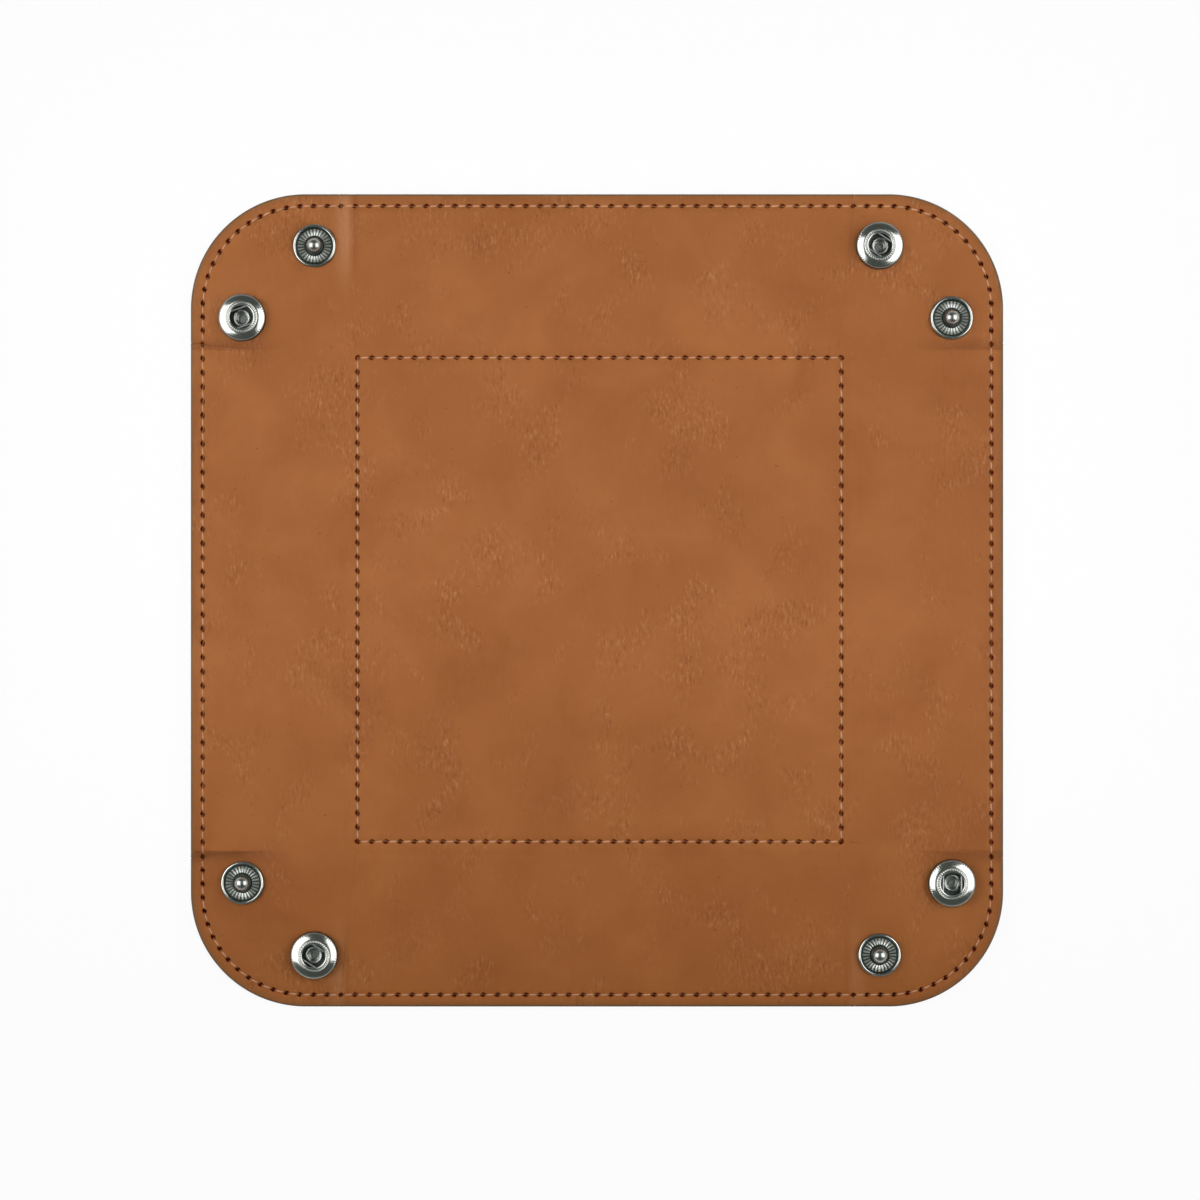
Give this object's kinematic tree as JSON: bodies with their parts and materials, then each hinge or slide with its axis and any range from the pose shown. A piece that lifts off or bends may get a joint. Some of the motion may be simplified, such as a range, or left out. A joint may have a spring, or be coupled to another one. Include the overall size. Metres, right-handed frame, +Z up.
{
  "type": "folding dice tray",
  "caption": "Square leatherette dice tray that lies flat and folds up at its stitched floor, with corner flaps that pinch together and hold by metal snap fasteners.",
  "frame": {"origin": "centre of the underside, on the surface that the tray lies on", "axes": "+Z up out of the tray's inside face, +X to the picture's right, +Y to its top"},
  "size_m": [0.2032, 0.2032, 0.0064],
  "materials": {
    "leatherette": "tan brown leatherette with a fine grain and a soft mottled tone, satin",
    "greyboard": "raw grey board, hidden between the sheets",
    "nickel": "bright nickel plate, polished, slightly worn",
    "spring_wire": "drawn steel wire",
    "thread": "twisted polyester sewing thread, light tan"
  },
  "bodies": {
    "base": {"base_top_leather": "leatherette", "base_bottom_leather": "leatherette", "base_board": "greyboard", "inner_seam_thread": "thread"},
    "right_wall": {"right_wall_top_leather": "leatherette", "right_wall_bottom_leather": "leatherette", "right_wall_board": "greyboard"},
    "back_wall": {"back_wall_top_leather": "leatherette", "back_wall_bottom_leather": "leatherette", "back_wall_board": "greyboard"},
    "left_wall": {"left_wall_top_leather": "leatherette", "left_wall_bottom_leather": "leatherette", "left_wall_board": "greyboard"},
    "front_wall": {"front_wall_top_leather": "leatherette", "front_wall_bottom_leather": "leatherette", "front_wall_board": "greyboard"},
    "back_right_fold": {"back_right_fold_top_leather": "leatherette", "back_right_fold_bottom_leather": "leatherette"},
    "back_right_stud_flap": {"back_right_stud_flap_top_leather": "leatherette", "back_right_stud_flap_bottom_leather": "leatherette", "back_right_stud": "nickel", "back_right_stud_rivet": "nickel"},
    "back_right_socket_flap": {"back_right_socket_flap_top_leather": "leatherette", "back_right_socket_flap_bottom_leather": "leatherette", "back_right_socket": "nickel", "back_right_socket_cap": "nickel", "back_right_socket_spring": "spring_wire"},
    "back_left_fold": {"back_left_fold_top_leather": "leatherette", "back_left_fold_bottom_leather": "leatherette"},
    "back_left_stud_flap": {"back_left_stud_flap_top_leather": "leatherette", "back_left_stud_flap_bottom_leather": "leatherette", "back_left_stud": "nickel", "back_left_stud_rivet": "nickel"},
    "back_left_socket_flap": {"back_left_socket_flap_top_leather": "leatherette", "back_left_socket_flap_bottom_leather": "leatherette", "back_left_socket": "nickel", "back_left_socket_cap": "nickel", "back_left_socket_spring": "spring_wire"},
    "front_left_fold": {"front_left_fold_top_leather": "leatherette", "front_left_fold_bottom_leather": "leatherette"},
    "front_left_stud_flap": {"front_left_stud_flap_top_leather": "leatherette", "front_left_stud_flap_bottom_leather": "leatherette", "front_left_stud": "nickel", "front_left_stud_rivet": "nickel"},
    "front_left_socket_flap": {"front_left_socket_flap_top_leather": "leatherette", "front_left_socket_flap_bottom_leather": "leatherette", "front_left_socket": "nickel", "front_left_socket_cap": "nickel", "front_left_socket_spring": "spring_wire"},
    "front_right_fold": {"front_right_fold_top_leather": "leatherette", "front_right_fold_bottom_leather": "leatherette"},
    "front_right_stud_flap": {"front_right_stud_flap_top_leather": "leatherette", "front_right_stud_flap_bottom_leather": "leatherette", "front_right_stud": "nickel", "front_right_stud_rivet": "nickel"},
    "front_right_socket_flap": {"front_right_socket_flap_top_leather": "leatherette", "front_right_socket_flap_bottom_leather": "leatherette", "front_right_socket": "nickel", "front_right_socket_cap": "nickel", "front_right_socket_spring": "spring_wire"}
  },
  "joints": [
    {"name": "right_wall_fold", "type": "hinge", "parent": "base", "child": "right_wall", "pos_m": [0.0635, 0, 0.003], "axis": [0, -1, 0], "range_deg": [0, 84]},
    {"name": "back_wall_fold", "type": "hinge", "parent": "base", "child": "back_wall", "pos_m": [0, 0.0635, 0.003], "axis": [1, 0, 0], "range_deg": [0, 84]},
    {"name": "left_wall_fold", "type": "hinge", "parent": "base", "child": "left_wall", "pos_m": [-0.0635, 0, 0.003], "axis": [0, 1, 0], "range_deg": [0, 84]},
    {"name": "front_wall_fold", "type": "hinge", "parent": "base", "child": "front_wall", "pos_m": [0, -0.0635, 0.003], "axis": [-1, 0, 0], "range_deg": [0, 84]},
    {"name": "back_right_corner_fold", "type": "hinge", "parent": "base", "child": "back_right_fold", "pos_m": [0.06194, 0.06194, 0.003], "axis": [0.7071, -0.7071, 0], "range_deg": [0, 42.52]},
    {"name": "back_right_stud_flap_fold", "type": "hinge", "parent": "back_right_fold", "child": "back_right_stud_flap", "pos_m": [0.0635, 0.06039, 0.003], "axis": [-0.7071, -0.7071, 0], "range_deg": [0, 90]},
    {"name": "back_right_socket_flap_fold", "type": "hinge", "parent": "back_right_fold", "child": "back_right_socket_flap", "pos_m": [0.06039, 0.0635, 0.003], "axis": [0.7071, 0.7071, 0], "range_deg": [0, 90], "deforming": ["back_right_socket_spring"]},
    {"name": "back_left_corner_fold", "type": "hinge", "parent": "base", "child": "back_left_fold", "pos_m": [-0.06194, 0.06194, 0.003], "axis": [0.7071, 0.7071, 0], "range_deg": [0, 42.52]},
    {"name": "back_left_stud_flap_fold", "type": "hinge", "parent": "back_left_fold", "child": "back_left_stud_flap", "pos_m": [-0.06039, 0.0635, 0.003], "axis": [0.7071, -0.7071, 0], "range_deg": [0, 90]},
    {"name": "back_left_socket_flap_fold", "type": "hinge", "parent": "back_left_fold", "child": "back_left_socket_flap", "pos_m": [-0.0635, 0.06039, 0.003], "axis": [-0.7071, 0.7071, 0], "range_deg": [0, 90], "deforming": ["back_left_socket_spring"]},
    {"name": "front_left_corner_fold", "type": "hinge", "parent": "base", "child": "front_left_fold", "pos_m": [-0.06194, -0.06194, 0.003], "axis": [-0.7071, 0.7071, 0], "range_deg": [0, 42.52]},
    {"name": "front_left_stud_flap_fold", "type": "hinge", "parent": "front_left_fold", "child": "front_left_stud_flap", "pos_m": [-0.0635, -0.06039, 0.003], "axis": [0.7071, 0.7071, 0], "range_deg": [0, 90]},
    {"name": "front_left_socket_flap_fold", "type": "hinge", "parent": "front_left_fold", "child": "front_left_socket_flap", "pos_m": [-0.06039, -0.0635, 0.003], "axis": [-0.7071, -0.7071, 0], "range_deg": [0, 90], "deforming": ["front_left_socket_spring"]},
    {"name": "front_right_corner_fold", "type": "hinge", "parent": "base", "child": "front_right_fold", "pos_m": [0.06194, -0.06194, 0.003], "axis": [-0.7071, -0.7071, 0], "range_deg": [0, 42.52]},
    {"name": "front_right_stud_flap_fold", "type": "hinge", "parent": "front_right_fold", "child": "front_right_stud_flap", "pos_m": [0.06039, -0.0635, 0.003], "axis": [-0.7071, 0.7071, 0], "range_deg": [0, 90]},
    {"name": "front_right_socket_flap_fold", "type": "hinge", "parent": "front_right_fold", "child": "front_right_socket_flap", "pos_m": [0.0635, -0.06039, 0.003], "axis": [0.7071, -0.7071, 0], "range_deg": [0, 90], "deforming": ["front_right_socket_spring"]}
  ],
  "couplings": [
    {"joint": "right_wall_fold", "follows": "front_wall_fold", "ratio": 1},
    {"joint": "back_wall_fold", "follows": "front_wall_fold", "ratio": 1},
    {"joint": "left_wall_fold", "follows": "front_wall_fold", "ratio": 1},
    {"joint": "back_right_corner_fold", "follows": "front_wall_fold", "ratio": 0.5061},
    {"joint": "back_right_stud_flap_fold", "follows": "front_wall_fold", "ratio": 1.0714},
    {"joint": "back_right_socket_flap_fold", "follows": "front_wall_fold", "ratio": 1.0714},
    {"joint": "back_left_corner_fold", "follows": "front_wall_fold", "ratio": 0.5061},
    {"joint": "back_left_stud_flap_fold", "follows": "front_wall_fold", "ratio": 1.0714},
    {"joint": "back_left_socket_flap_fold", "follows": "front_wall_fold", "ratio": 1.0714},
    {"joint": "front_left_corner_fold", "follows": "front_wall_fold", "ratio": 0.5061},
    {"joint": "front_left_stud_flap_fold", "follows": "front_wall_fold", "ratio": 1.0714},
    {"joint": "front_left_socket_flap_fold", "follows": "front_wall_fold", "ratio": 1.0714},
    {"joint": "front_right_corner_fold", "follows": "front_wall_fold", "ratio": 0.5061},
    {"joint": "front_right_stud_flap_fold", "follows": "front_wall_fold", "ratio": 1.0714},
    {"joint": "front_right_socket_flap_fold", "follows": "front_wall_fold", "ratio": 1.0714}
  ]
}
